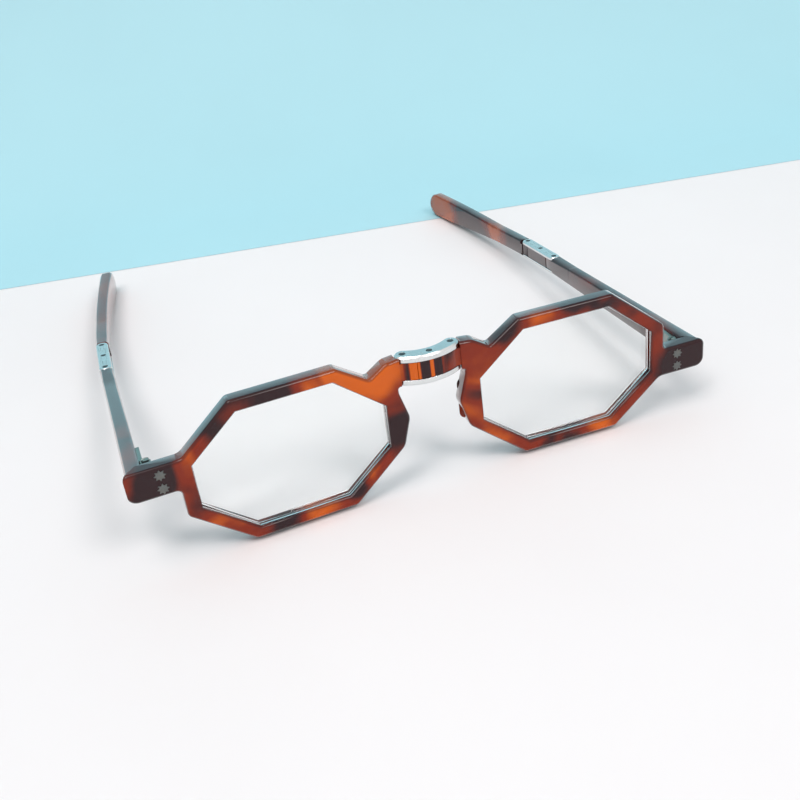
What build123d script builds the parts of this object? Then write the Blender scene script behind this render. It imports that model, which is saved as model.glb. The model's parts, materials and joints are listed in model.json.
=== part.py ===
from build123d import *
import math
import os

# Folding octagonal eyeglasses. The front view plane is modelled upright: X across the face with the
# wearer's left at +X, Y from the front of the rims back along the temples, Z up in the plane of the
# rims. Everything is then leaned back so that the glasses stand on the rims and the temple tips.

# Lenses and their openings
lens_width = 44.0
lens_height = 29.6
lens_gap = 23.1
lens_flat_top_share = 0.489
lens_flat_side_share = 0.365
lens_thickness = 1.8
lens_curve_radius = 180.0
lens_bevel_width = 1.0
lens_clearance = 0.1

# Rims
rim_depth = 4.0
rim_bar = 3.0
rim_bottom_bar = 2.8
rim_temple_bar = 3.4
nose_bar = 5.3
rim_front_round = 0.9
rim_back_bevel = 0.6
rim_corner_round = 1.6
rim_groove_depth = 0.8
rim_bezel = 0.45
front_wrap_angle = 1.75

# Nose side of a rim: across by shares of the nose bar, up by shares of half the lens height
nose_top_shares = (0.66, 0.50)
nose_bulge_shares = (1.02, 0.05)
nose_foot_shares = (0.64, -0.42)
nose_round = 3.2
notch_shares = (0.864, 0.872)
notch_round = 1.0
lug_break_shares = (1.048, 1.050)

# Nose pads, moulded on the back of the rims
pad_height = 11.0
pad_width = 3.6
pad_rise = 2.0
pad_splay = 0.7
pad_crown_share = 0.62

# Folding bridge
bridge_pin_gap = 11.5
bridge_bow = 1.7
bridge_rise = 1.2
bridge_height = 7.2
bridge_plate_width = 3.8
bridge_plate_thickness = 1.4
bridge_plate_bevel = 0.4
bridge_seam_radius = 3.6
bridge_wrap_start = 1.5
acetate_inset = 0.12

# Pivots and rivets
pivot_radius = 0.7
rivet_radius = 0.6
star_shank_radius = 0.45
fit_clearance = 0.04
pivot_clearance = 0.08
side_clearance = 0.12
fold_clearance = 0.15
cut_overrun = 1.0

# End pieces, one set higher than the other so that the folded temples lie one above the other
end_height = 7.3
high_end_bottom = 0.4
low_end_bottom = -7.4
end_inner_round = 2.6
end_notch_round = 1.2
end_top_round = 1.5
end_foot_round = 2.4
mitre_clearance = 0.2

# Hinges
hinge_axis_out = 8.7
hinge_lift = 0.25
low_hinge_lean = -2.9
barrel_side_gap = 0.2
barrel_radius = 1.15
barrel_height = 5.4
barrel_middle_share = 0.36
barrel_gap = 0.12
leaf_thickness = 0.85
leaf_length = 6.2
leaf_height = 5.0
leaf_round = 1.6
rear_leaf_length = 9.0
screw_radius = 0.5
screw_head_radius = 0.85
screw_head_height = 0.5
star_radius = 1.35
star_waist_share = 0.62
star_points = 8
star_thickness = 0.4
star_proud = 0.08
star_spacing = 3.3
star_inset = 6.75
star_level_shares = (0.5, -0.5)

# Temples
temple_thickness = 3.5
temple_height = 5.2
temple_edge_bevel = 0.6
high_link_level = -2.4
low_link_level = -4.1
link_middle_y = 78.0
link_taper_reach = 20.0
taper_round = 60.0
tip_flare_reach = 30.0
tip_flare_round = 30.0
tip_bend_start = 10.0
tip_reach = 68.0
tip_inset = 3.7
tip_top_rise = 2.4
tip_drop = 0.8
tip_low_share = 0.82
tip_round = 3.8

# Folding links of the temples
link_pin_gap = 16.0
link_plate_width = 3.3
link_plate_thickness = 0.9
link_plate_bevel = 0.25
link_seam_radius = 2.6
link_wrap_start = 0.9
link_rest_turn = 2.0

# Derived places
half_width = lens_width / 2
half_height = lens_height / 2
lens_x = lens_gap / 2 + half_width
flat_top = half_width * lens_flat_top_share
flat_side = half_height * lens_flat_side_share
diagonal = Vector(half_height - flat_side, half_width - flat_top).normalized()
diagonal_reach = diagonal.X * flat_top + diagonal.Y * half_height
rim_middle = rim_depth / 2
rim_foot = half_height + rim_bottom_bar
pin_x = bridge_pin_gap / 2
bridge_top = half_height + bridge_rise
bridge_bottom = bridge_top - bridge_height
bridge_plate_radius = bridge_plate_width / 2
block_bottom = bridge_bottom + bridge_plate_thickness
block_top = bridge_top - bridge_plate_thickness
hinge_axis_x = lens_x + half_width + hinge_axis_out
hinge_axis_y = rim_depth + barrel_radius + hinge_lift
wrap = math.radians(front_wrap_angle)
hinge_out, hinge_back = hinge_axis_x - pin_x, hinge_axis_y - rim_middle
hinge_x = pin_x + hinge_out * math.cos(wrap) + hinge_back * math.sin(wrap)
hinge_y = rim_middle - hinge_out * math.sin(wrap) + hinge_back * math.cos(wrap)
temple_inner_x = hinge_x + barrel_radius + barrel_side_gap
end_reach = temple_inner_x + temple_thickness
temple_middle_x = temple_inner_x + temple_thickness / 2
mitre_y = rim_front_round - (end_reach - pin_x) * math.sin(wrap)
link_pin = link_pin_gap / 2
link_plate_radius = link_plate_width / 2
temple_half = temple_height / 2
link_block_half = temple_half - link_plate_thickness
tip_low = tip_reach * tip_low_share
leaf_start = barrel_radius + fold_clearance
BASE = (Align.CENTER, Align.CENTER, Align.MIN)
CEILING = (Align.CENTER, Align.CENTER, Align.MAX)


def corner_points(grow):
    """The eight corners of the lens shape, grown by the same amount on every side."""
    side, top, slant = half_width + grow, half_height + grow, diagonal_reach + grow
    u = (slant - diagonal.Y * top) / diagonal.X
    v = (slant - diagonal.X * side) / diagonal.Y
    return [(u, top), (side, v), (side, -v), (u, -top), (-u, -top), (-side, -v), (-side, v), (-u, top)]


def diagonal_u(level):
    """How far out the outer edge of a slanted bar lies at a height above the lens centre."""
    return (diagonal_reach + rim_bar - diagonal.Y * level) / diagonal.X


def rounded_face(points, plane):
    """A flat face with straight sides: each point has its place in the plane and a corner radius."""
    stops = []
    for i, (a, b, radius) in enumerate(points):
        here = Vector(a, b)
        before = Vector(*points[i - 1][:2]) - here
        after = Vector(*points[(i + 1) % len(points)][:2]) - here
        half = math.radians(before.get_angle(after)) / 2
        before, after = before.normalized(), after.normalized()
        if radius == 0:
            stops.append((here, here, here))
            continue
        reach = radius / math.tan(half)
        middle = here + (before + after).normalized() * (radius / math.sin(half) - radius)
        stops.append((here + before * reach, middle, here + after * reach))
    stops = [[plane.from_local_coords(p) for p in stop] for stop in stops]
    edges = []
    for i, (start, middle, end) in enumerate(stops):
        if (end - start).length > 0:
            edges.append(Edge.make_three_point_arc(start, middle, end))
        edges.append(Edge.make_line(end, stops[(i + 1) % len(stops)][0]))
    return Face(Wire(edges))


def at_depth(depth):
    """The plane of the lens shape at a depth behind the front of the rims."""
    return Plane(origin=(lens_x, depth, 0), x_dir=(1, 0, 0), z_dir=(0, -1, 0))


def lens_face(grow, depth):
    return rounded_face([(u, v, 0) for u, v in corner_points(grow)], at_depth(depth))


def lens_prism(grow):
    depth = rim_depth + 2 * cut_overrun
    return extrude(lens_face(grow, -cut_overrun), depth, dir=(0, 1, 0))


def ridge(inner_grow, outer_grow, width):
    """A flat plate in the lens shape whose edge comes to a ridge in the middle of the rim's depth."""
    sections = [(inner_grow, -width / 2), (outer_grow, 0), (inner_grow, width / 2)]
    return loft([lens_face(grow, rim_middle + y) for grow, y in sections], ruled=True)


def bar(sketch, low, high):
    """A sketch in the XY plane made solid from one height to another."""
    return Pos(0, 0, low) * extrude(sketch, high - low)


def rivet(radius, low, high, grow=0):
    """A pin along Z, filed flush at both ends; grow widens it into the hole that takes it."""
    return bar(Circle(radius + grow), low, high)


def pivot_pocket(radius, wrap_start, reach, low, high):
    """The room that a plate's round end needs in the piece it carries, about a pivot at the origin.

    The piece lies towards +X and folds towards +Y. Its shoulder hugs the plate's end on one side
    and is straight on the side that it folds to, so that it can turn by a quarter."""
    room = radius + fold_clearance
    plan = Circle(room)
    plan += Pos(room - reach / 2, reach / 2) * Rectangle(reach, reach)
    plan += Pos(wrap_start - reach / 2, 0) * Rectangle(reach, 2 * reach)
    return bar(plan, low, high)


class Side:
    """What differs between the sides: the height of the end piece and the run of the temple."""

    def __init__(self, name, high, end_bottom, link_level):
        self.name = name
        self.high = high
        self.end_bottom = end_bottom
        self.end_top = end_bottom + end_height
        self.end_middle = end_bottom + end_height / 2
        slope = math.asin((link_level - low_link_level) / tip_low)
        along = (0, math.cos(slope), -math.sin(slope))
        middle = (temple_middle_x, link_middle_y, link_level)
        self.link = Plane(origin=middle, x_dir=along, z_dir=(0, math.sin(slope), math.cos(slope)))
        self.profile = Plane(origin=middle, x_dir=along, z_dir=(1, 0, 0))
        self.link_turn = self.turn_about(-link_pin)
        self.tip_turn = self.link_turn * self.turn_about(link_pin)
        start = self.profile.from_local_coords(Vector(-link_taper_reach, 0))
        fall = math.degrees(math.atan2(self.end_middle - start.Z, start.Y - hinge_y))
        self.hinge = Location((hinge_x, hinge_y, self.end_middle), (-fall if high else -low_hinge_lean, 0, 0))
        self.stars = [self.end_middle + star_spacing * share for share in star_level_shares]

    def turn_about(self, pin):
        """The small inward turn at one of the link's pivots, as the glasses lie in use."""
        place = self.link.location * Pos(pin, 0, 0)
        return place * Rot(0, 0, link_rest_turn) * place.inverse()


right = Side("right", True, high_end_bottom, high_link_level)
left = Side("left", False, low_end_bottom, low_link_level)


def toed(shape):
    """Turned with its rim about the bridge pivot, which brings the outer end forward."""
    return Pos(pin_x, rim_middle) * Rot(0, 0, -front_wrap_angle) * Pos(-pin_x, -rim_middle) * shape


def rim_outline(side):
    """Corners of the rim with its end piece and lug, as (out, up, radius) from the lens centre."""
    top = half_height + rim_bar
    end_u = end_reach - lens_x + cut_overrun
    side_u = half_width + rim_temple_bar
    top_u = diagonal_u(top)
    foot_u = diagonal_u(rim_foot)
    side_v = (diagonal_reach + rim_bar - diagonal.X * side_u) / diagonal.Y
    points = [(-half_width * notch_shares[0], half_height * notch_shares[1], notch_round)]
    points += [(-top_u, top, rim_corner_round), (top_u, top, rim_corner_round)]
    if side.high:
        points.append((diagonal_u(side.end_top), side.end_top, end_inner_round))
    else:
        points += [(side_u, side_v, rim_corner_round), (side_u, side.end_top, end_notch_round)]
    points += [(end_u, side.end_top, end_top_round), (end_u, side.end_bottom, end_foot_round)]
    if side.high:
        points += [(side_u, side.end_bottom, end_notch_round), (side_u, -side_v, rim_corner_round)]
    else:
        points.append((diagonal_u(-side.end_bottom), side.end_bottom, end_inner_round))
    points += [(foot_u, -rim_foot, rim_corner_round), (-foot_u, -rim_foot, rim_corner_round)]
    for across, up in (nose_foot_shares, nose_bulge_shares, nose_top_shares):
        points.append((-half_width - nose_bar * across, half_height * up, nose_round))
    lug_end = pin_x - lens_x
    points.append((points[-1][0], bridge_bottom, notch_round / 2))
    points += [(lug_end, bridge_bottom, 0), (lug_end, bridge_top, 0)]
    points.append((-half_width * lug_break_shares[0], half_height * lug_break_shares[1], nose_round))
    return points


def mitre(clearance, align):
    """One side of the slanted joint between the end piece and the temple."""
    plane = Plane(origin=(end_reach, mitre_y, 0), x_dir=(0, 0, 1), z_dir=(1, 1, 0)).offset(clearance)
    return plane * Box(end_reach, end_reach, end_reach, align=align)


def bridge_band(width):
    """The bowed strip that the bridge's plates, block and tongues follow, seen from above."""
    ends = (-pin_x, rim_middle), (0, rim_middle - bridge_bow), (pin_x, rim_middle)
    return SlotArc(ThreePointArc(*ends), width)


def nose_pad():
    nose_u = half_width + nose_bar * nose_bulge_shares[0]
    x = lens_x - nose_u + pad_width / 2 + rim_back_bevel
    base = Plane(origin=(x, rim_depth - rim_back_bevel, 0), x_dir=(1, 0, 0), z_dir=(0, 1, 0))
    crown = Plane(origin=(x + pad_splay, rim_depth + pad_rise, 0), x_dir=(1, 0, 0), z_dir=(0, 1, 0))
    share = pad_crown_share
    return loft([base * SlotOverall(pad_height, pad_width, rotation=90),
                 crown * SlotOverall(pad_height * share, pad_width * share, rotation=90)], ruled=True)


def make_rim(side):
    slab = extrude(rounded_face(rim_outline(side), at_depth(0)), rim_depth, dir=(0, 1, 0))
    slab = fillet(slab.faces().sort_by(Axis.Y)[0].edges(), rim_front_round)
    slab = chamfer(slab.faces().sort_by(Axis.Y)[-1].edges(), rim_back_bevel)
    slab += nose_pad()
    slab -= lens_prism(0)
    slab -= ridge(-lens_clearance, rim_groove_depth, 2 * rim_groove_depth)
    slab -= loft([lens_face(rim_bezel, 0), lens_face(0, rim_bezel)], ruled=True)
    for level in side.stars:
        slab -= star_rivet(level, fit_clearance)
    slab = toed(slab)
    slab -= mitre(0, BASE)
    pin = Pos(pin_x, rim_middle)
    reach = bridge_height
    tongue_bottom, tongue_top = block_bottom + side_clearance, block_top - side_clearance
    for low, high in ((bridge_bottom - side_clearance, tongue_bottom), (tongue_top, 2 * bridge_top)):
        slab -= pin * pivot_pocket(bridge_plate_radius, bridge_wrap_start, reach, low, high)
    slab -= pin * bar(Pos(bridge_wrap_start - reach / 2, 0) * Rectangle(reach, 2 * reach),
                      bridge_bottom - side_clearance, 2 * bridge_top)
    width = bridge_plate_width - 2 * acetate_inset
    plan = bridge_band(width) & (pin * Circle(bridge_seam_radius))
    neck = bridge_plate_radius + 2 * fold_clearance
    plan += pin * Pos(neck / 2, 0) * Rectangle(neck, width)
    slab += bar(plan, tongue_bottom, tongue_top)
    return slab - pin * bar(Circle(pivot_radius + pivot_clearance), bridge_bottom, bridge_top)


def make_lens(side):
    reach = (half_width + half_height) / 2
    sag = reach ** 2 / (2 * lens_curve_radius)
    centre = Pos(lens_x, rim_middle - lens_thickness / 2 - sag + lens_curve_radius, 0)
    body = lens_prism(-lens_clearance) & (centre * Sphere(lens_curve_radius))
    body -= centre * Sphere(lens_curve_radius - lens_thickness)
    rib = ridge(-lens_clearance, rim_groove_depth - lens_clearance, lens_bevel_width)
    return toed(body + (rib - lens_prism(-rim_bar / 2)))


def star_rivet(level, grow=0):
    """A star head let into the front of the end piece, on a shank that reaches the hinge leaf."""
    corners = []
    for i in range(2 * star_points):
        radius = star_radius * (star_waist_share if i % 2 else 1) + grow
        angle = math.pi * i / star_points
        corners.append((radius * math.sin(angle), radius * math.cos(angle)))
    head = bar(make_face(Polyline(*corners, close=True)), -star_proud, star_thickness)
    rivet = head + bar(Circle(star_shank_radius + grow), 0, rim_depth + leaf_thickness)
    place = Plane(origin=(end_reach - star_inset, 0, level), x_dir=(1, 0, 0), z_dir=(0, 1, 0))
    return place * rivet


def make_star(side, level):
    return toed(star_rivet(level))


def barrel_levels():
    """The three barrels of a hinge, about its middle: lower, middle and upper."""
    half, middle = barrel_height / 2, barrel_height * barrel_middle_share / 2
    return (-half, -middle - barrel_gap), (-middle, middle), (middle + barrel_gap, half)


def make_front_leaf(side):
    lower, middle, upper = barrel_levels()
    plane = Plane(origin=(hinge_axis_x, rim_depth, side.end_middle), x_dir=(1, 0, 0), z_dir=(0, -1, 0))
    tall = leaf_height / 2
    leaf = extrude(rounded_face([(-leaf_length, -tall, leaf_round), (0, -tall, 0), (0, tall, 0),
                                 (-leaf_length, tall, leaf_round)], plane), leaf_thickness, dir=(0, 1, 0))
    for level in side.stars:
        leaf -= star_rivet(level, fit_clearance)
    leaf = toed(leaf)
    for low, high in (lower, upper):
        leaf += side.hinge * bar(Circle(barrel_radius), low, high)
    room = Circle(barrel_radius + fold_clearance)
    leaf -= side.hinge * bar(room, middle[0] - barrel_gap, middle[1] + barrel_gap)
    return leaf - side.hinge * bar(Circle(screw_radius + fit_clearance), -barrel_height, barrel_height)


def make_screw(side):
    half = barrel_height / 2
    screw = bar(Circle(screw_radius), -half, half)
    return side.hinge * (screw + bar(Circle(screw_head_radius), half, half + screw_head_height))


def make_rear_leaf(side):
    lower, middle, upper = barrel_levels()
    inner = barrel_radius + barrel_side_gap
    plane = Plane(origin=(inner, leaf_start, 0), x_dir=(0, 1, 0), z_dir=(1, 0, 0))
    tall = leaf_height / 2
    leaf = extrude(rounded_face([(0, -tall, 0), (rear_leaf_length, -tall, leaf_round),
                                 (rear_leaf_length, tall, leaf_round), (0, tall, 0)], plane),
                   leaf_thickness, dir=(-1, 0, 0))
    web = 2 * leaf_start
    leaf += bar(Pos(inner / 2, web / 2) * Rectangle(inner, web), middle[0], middle[1])
    leaf += bar(Circle(barrel_radius), middle[0], middle[1])
    leaf -= bar(Circle(screw_radius + pivot_clearance), -barrel_height, barrel_height)
    return side.hinge * leaf


def temple_plan():
    """The temple seen from above: straight, then bent inwards towards its tip."""
    bend = link_middle_y + tip_bend_start
    run = tip_reach - tip_bend_start
    radius = (run ** 2 + tip_inset ** 2) / (2 * tip_inset)
    turn = math.asin((run + cut_overrun) / radius)
    lines = []
    for start_x in (temple_inner_x, end_reach):
        centre = temple_middle_x - radius
        r = start_x - centre
        arc = [(centre + r * math.cos(turn * share), bend + r * math.sin(turn * share))
               for share in (0, 0.5, 1)]
        lines.append([(start_x, -end_reach)] + arc)
    inner, outer = lines
    wire = [Line(inner[0], inner[1]), ThreePointArc(*inner[1:]), Line(inner[3], outer[3]),
            ThreePointArc(*outer[1:]), Line(outer[1], outer[0]), Line(outer[0], inner[0])]
    return make_face(wire)


def temple_blank(side, points):
    """The temple between its side outline and its plan, with all its long edges bevelled."""
    reach = temple_thickness + tip_inset
    solid = extrude(rounded_face(points, side.profile), reach, dir=(1, 0, 0), both=True)
    solid &= bar(temple_plan(), -end_reach, end_reach)
    return chamfer(solid.edges().filter_by(lambda e: not on_flank(e)), temple_edge_bevel)


def link_end(side, piece, mirrored):
    """Cuts the seats of the link's plates into the end of a temple piece and adds its tongue."""
    width = link_plate_width - 2 * acetate_inset
    reach = temple_height
    tongue = link_block_half - side_clearance
    room = pivot_pocket(link_plate_radius, link_wrap_start, reach, tongue, temple_height)
    room += pivot_pocket(link_plate_radius, link_wrap_start, reach, -temple_height, -tongue)
    room += bar(Pos(link_wrap_start - reach / 2, 0) * Rectangle(reach, 2 * reach), -tongue, tongue)
    neck = link_plate_radius + 2 * fold_clearance
    plan = Circle(link_seam_radius) & Rectangle(2 * reach, width)
    plan += Pos(neck / 2, 0) * Rectangle(neck, width)
    tongue = bar(plan, -tongue, tongue)
    bore = bar(Circle(pivot_radius + pivot_clearance), -temple_half, temple_half)
    place = side.link.location * Pos(-link_pin if mirrored else link_pin, 0, 0)
    if mirrored:
        room, tongue = room.mirror(Plane.YZ), tongue.mirror(Plane.YZ)
    return piece - place * room + place * tongue - place * bore


def make_temple_front(side):
    corners = []
    for level, half in ((side.end_top, temple_half), (side.end_bottom, -temple_half)):
        start = side.profile.to_local_coords(Vector(temple_middle_x, mitre_y, level))
        taper = Vector(-link_taper_reach, half)
        start += (start - taper).normalized() * temple_thickness
        corners.append([(start.X, start.Y, 0), (-link_taper_reach, half, taper_round)])
    (top_start, top_taper), (foot_start, foot_taper) = corners
    end = cut_overrun - link_pin
    points = [top_start, top_taper, (end, temple_half, 0), (end, -temple_half, 0), foot_taper, foot_start]
    piece = temple_blank(side, points)
    piece -= mitre(mitre_clearance, CEILING)
    return link_end(side, piece, True)


def make_temple_rear(side):
    start = link_pin - cut_overrun
    top, foot = temple_half + tip_top_rise, -temple_half - tip_drop
    flare = tip_low - tip_flare_reach
    points = [(start, -temple_half, 0), (flare, -temple_half, tip_flare_round),
              (tip_low, foot, tip_flare_round), (tip_reach, foot + tip_drop / 2, tip_round),
              (tip_reach, top, tip_round), (flare, temple_half, tip_flare_round), (start, temple_half, 0)]
    return link_end(side, temple_blank(side, points), False)


def on_flank(edge):
    """Whether an edge runs across the thickness of a temple, rather than along one of its sides."""
    return abs(edge.bounding_box().size.X - temple_thickness) < fit_clearance


def link_plate(side, top):
    low, high = (link_block_half, temple_half) if top else (-temple_half, -link_block_half)
    plate = bar(SlotCenterToCenter(link_pin_gap, link_plate_width), low, high)
    plate = chamfer(plate.faces().sort_by(Axis.Z)[-1 if top else 0].edges(), link_plate_bevel)
    for hole in link_rivets(fit_clearance):
        plate -= hole
    return side.link * plate


def link_rivets(grow=0):
    """The front pivot, the rear pivot and the rivet between them, which hold a temple's link."""
    pivot = rivet(pivot_radius, -temple_half, temple_half, grow)
    middle = rivet(rivet_radius, -temple_half, temple_half, grow)
    return Pos(-link_pin) * pivot, Pos(link_pin) * pivot, middle


def make_link_block(side):
    width = link_plate_width - 2 * acetate_inset
    plan = Rectangle(link_pin_gap, width)
    for x in (-link_pin, link_pin):
        plan -= Pos(x) * Circle(link_seam_radius + fold_clearance)
    block = bar(plan, -link_block_half, link_block_half)
    return side.link * (block - bar(Circle(rivet_radius + fit_clearance), -temple_half, temple_half))


def bridge_rivets(grow=0):
    """The right pivot, the left pivot and the rivet between them, which hold the bridge."""
    pivot = rivet(pivot_radius, bridge_bottom, bridge_top, grow)
    middle = rivet(rivet_radius, bridge_bottom, bridge_top, grow)
    return (Pos(-pin_x, rim_middle) * pivot, Pos(pin_x, rim_middle) * pivot,
            Pos(0, rim_middle - bridge_bow) * middle)


def bridge_plate(top):
    low, high = (block_top, bridge_top) if top else (bridge_bottom, block_bottom)
    plate = bar(bridge_band(bridge_plate_width), low, high)
    plate = chamfer(plate.faces().sort_by(Axis.Z)[-1 if top else 0].edges(), bridge_plate_bevel)
    for hole in bridge_rivets(fit_clearance):
        plate -= hole
    return plate


def make_bridge_block():
    plan = bridge_band(bridge_plate_width - 2 * acetate_inset)
    for x in (-pin_x, pin_x):
        plan -= Pos(x, rim_middle) * Circle(bridge_seam_radius + fold_clearance)
    block = bar(plan, block_bottom, block_top)
    middle = Pos(0, rim_middle - bridge_bow) * Circle(rivet_radius + fit_clearance)
    return block - bar(middle, bridge_bottom, bridge_top)


def side_pieces(side):
    """Every piece of one side by name, modelled on the wearer's left."""
    front, rear, middle = (side.link * piece for piece in link_rivets())
    pieces = {
        "rim": make_rim(side),
        "lens": make_lens(side),
        "hinge_front_leaf": make_front_leaf(side),
        "hinge_screw": make_screw(side),
        "star_rivet_upper": make_star(side, side.stars[0]),
        "star_rivet_lower": make_star(side, side.stars[1]),
        "temple_front": make_temple_front(side),
        "hinge_rear_leaf": make_rear_leaf(side),
        "link_top_plate": link_plate(side, True),
        "link_bottom_plate": link_plate(side, False),
        "link_block": make_link_block(side),
        "link_front_pin": front,
        "link_rear_pin": rear,
        "link_rivet": middle,
        "temple_rear": make_temple_rear(side),
    }
    for name, piece in pieces.items():
        if name.startswith("link_"):
            pieces[name] = side.link_turn * piece
    pieces["temple_rear"] = side.tip_turn * pieces["temple_rear"]
    if side is right:
        pieces = {name: piece.mirror(Plane.YZ) for name, piece in pieces.items()}
    return {side.name + "_" + name: piece for name, piece in pieces.items()}


def all_pieces():
    right_pin, left_pin, middle = bridge_rivets()
    pieces = {"bridge_top_plate": bridge_plate(True), "bridge_bottom_plate": bridge_plate(False),
              "bridge_block": make_bridge_block(), "bridge_right_pin": right_pin,
              "bridge_left_pin": left_pin, "bridge_rivet": middle}
    for side in (right, left):
        pieces.update(side_pieces(side))
    return pieces


def standing(pieces):
    """The place of the front frame when the glasses stand on the rims and on both temple tips."""
    rise = rim_foot + low_link_level - temple_half - tip_drop
    run = link_middle_y + tip_low - (rim_depth - rim_back_bevel)
    lean = Rot(-math.degrees(math.atan2(rise, run)), 0, 0)
    box = Compound(children=[lean * piece for piece in pieces.values()]).bounding_box()
    return Pos(0, -(box.min.Y + box.max.Y) / 2, -box.min.Z) * lean


def main():
    pieces = all_pieces()
    place = standing(pieces)
    os.makedirs("parts", exist_ok=True)
    for name, piece in pieces.items():
        export_step(place * piece, os.path.join("parts", name + ".step"))
    print("front frame placed at", place.position, "turned by", place.orientation)
    pivots = {"bridge": Location((pin_x, rim_middle, block_bottom))}
    for side in (right, left):
        pivots[side.name + "_hinge"] = side.hinge
        pivots[side.name + "_link_front"] = side.link.location * Pos(-link_pin, 0, 0)
        pivots[side.name + "_link_rear"] = side.link_turn * side.link.location * Pos(link_pin, 0, 0)
    for name, pivot in pivots.items():
        spot = place * pivot
        axis = Plane(spot).z_dir
        print(name, "pivot of the left pattern at", spot.position, "along", axis)


main()
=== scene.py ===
"""Folding octagonal eyeglasses: finishes, pin crowns, screw heads and the picture's stage."""

import json
import math

import bmesh
import bpy
import numpy as np
from mathutils import Matrix, Vector


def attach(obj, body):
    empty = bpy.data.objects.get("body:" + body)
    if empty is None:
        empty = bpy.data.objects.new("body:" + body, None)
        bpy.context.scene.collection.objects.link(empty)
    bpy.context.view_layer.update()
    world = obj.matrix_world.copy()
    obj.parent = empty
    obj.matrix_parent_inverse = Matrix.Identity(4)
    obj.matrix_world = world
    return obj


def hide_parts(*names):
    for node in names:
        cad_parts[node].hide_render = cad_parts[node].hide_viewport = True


bl_info = {
    "name": "Folding Octagonal Eyeglasses",
    "version": (1, 0, 0),
    "blender": (4, 5, 0),
    "location": "3D View > Sidebar > Eyeglasses",
    "description": "Dresses a pair of folding tortoiseshell eyeglasses and sets their stage",
    "category": "Object",
}

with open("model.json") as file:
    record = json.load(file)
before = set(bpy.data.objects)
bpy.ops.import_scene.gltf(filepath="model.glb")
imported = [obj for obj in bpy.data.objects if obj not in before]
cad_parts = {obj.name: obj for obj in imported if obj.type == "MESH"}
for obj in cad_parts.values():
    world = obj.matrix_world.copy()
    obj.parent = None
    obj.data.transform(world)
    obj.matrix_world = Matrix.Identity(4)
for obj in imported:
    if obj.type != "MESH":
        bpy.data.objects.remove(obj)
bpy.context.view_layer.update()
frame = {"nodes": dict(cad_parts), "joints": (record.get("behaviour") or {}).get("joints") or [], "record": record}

SIDES = ("right", "left")
bodies = frame["record"]["behaviour"]["bodies"]
body_of_node = {node: body for body, nodes in bodies.items() for node in nodes}
slot_of_node = {part["node"]: part["material_slot"] for part in frame["record"]["subparts"]}
joint_of_name = {joint["name"]: joint for joint in frame["joints"]}

# The fronts: how far each is wrapped back, and how its lens sits in the rim's groove
FRONT_WRAP = math.radians(1.75)
LENS_CLEARANCE = 0.0001
LENS_RIDGE_HALF = 0.0005

# The stage: where the backdrop meets the floor and in which direction, how far both papers
# reach, the backdrop's flat foot, bend and height, and a lift that keeps it off the floor
BACKDROP_FOOT = Vector((0.0440, 0.0702, 0.0))
BACKDROP_ALONG = Vector((0.98394, -0.17849, 0.0))
PAPER_REACH = 1.6
BACKDROP_FLAT = 0.03
BACKDROP_BEND = 0.16
BACKDROP_HEIGHT = 1.3
BACKDROP_LIFT = 0.0001

# Lamps: the point in the open glasses that all of them face, and each one's name, place, width,
# power and colour
LAMP_TARGET = (0, -0.03, 0)
LAMPS = (
    ("soft key", (-0.42, -0.30, 1.55), 0.75, 8.3, (1.0, 0.945, 0.925)),
    ("left window", (-0.60, -0.45, 1.05), 0.28, 2.0, (1.0, 0.97, 0.95)),
    ("right window", (0.36, -0.72, 0.98), 0.42, 4.7, (1.0, 0.95, 0.935)),
)

# The surrounding: the colour and strength of its light, and the paler colour that it is seen in
WORLD_LIGHT = (1.0, 0.935, 0.925, 1.0)
WORLD_STRENGTH = 0.41
WORLD_BACKGROUND = (0.93, 0.90, 0.90, 1.0)


# Sizes and colours that a user would change

class AcetateSettings(bpy.types.PropertyGroup):
    amber: bpy.props.FloatVectorProperty(
        name="Amber", description="Colour of the light patches", subtype="COLOR", size=3,
        min=0, max=1, default=(0.68, 0.118, 0.0))
    rust: bpy.props.FloatVectorProperty(
        name="Rust", description="Red-brown between the light and dark patches", subtype="COLOR",
        size=3, min=0, max=1, default=(0.235, 0.018, 0.0))
    umber: bpy.props.FloatVectorProperty(
        name="Umber", description="Colour of the dark patches", subtype="COLOR", size=3,
        min=0, max=1, default=(0.022, 0.0045, 0.0065))
    patch: bpy.props.FloatProperty(
        name="Patch size", description="Typical width of a patch", subtype="DISTANCE",
        min=0.001, max=0.05, default=0.015)
    polish: bpy.props.FloatProperty(
        name="Polish roughness", description="Roughness of the polished surface", min=0, max=1,
        default=0.055)
    softness: bpy.props.FloatProperty(
        name="Edge softness", description="Width over which the bevelled edges are rounded",
        subtype="DISTANCE", min=0, max=0.001, default=0.00022)


class LensSettings(bpy.types.PropertyGroup):
    curve: bpy.props.FloatProperty(
        name="Curve radius", description="Radius of the front of the lens", subtype="DISTANCE",
        min=0.05, max=2, default=0.180)
    thickness: bpy.props.FloatProperty(
        name="Thickness", description="Thickness of the lens in the middle", subtype="DISTANCE",
        min=0.0005, max=0.005, default=0.0018)
    ridge: bpy.props.FloatProperty(
        name="Ridge", description="How far the lens's edge goes into the rim's groove",
        subtype="DISTANCE", min=0, max=0.002, default=0.0008)
    flat_top: bpy.props.FloatProperty(
        name="Flat top share", description="Length of the top side over the lens's width", min=0.1,
        max=0.9, default=0.489)
    flat_side: bpy.props.FloatProperty(
        name="Flat side share", description="Length of the outer side over the lens's height",
        min=0.1, max=0.9, default=0.365)
    tint: bpy.props.FloatVectorProperty(
        name="Tint", description="Colour of the lens", subtype="COLOR", size=3, min=0, max=1,
        default=(0.97, 0.985, 0.98))
    index: bpy.props.FloatProperty(
        name="Index", description="Refractive index", min=1, max=2, default=1.5)


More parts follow.
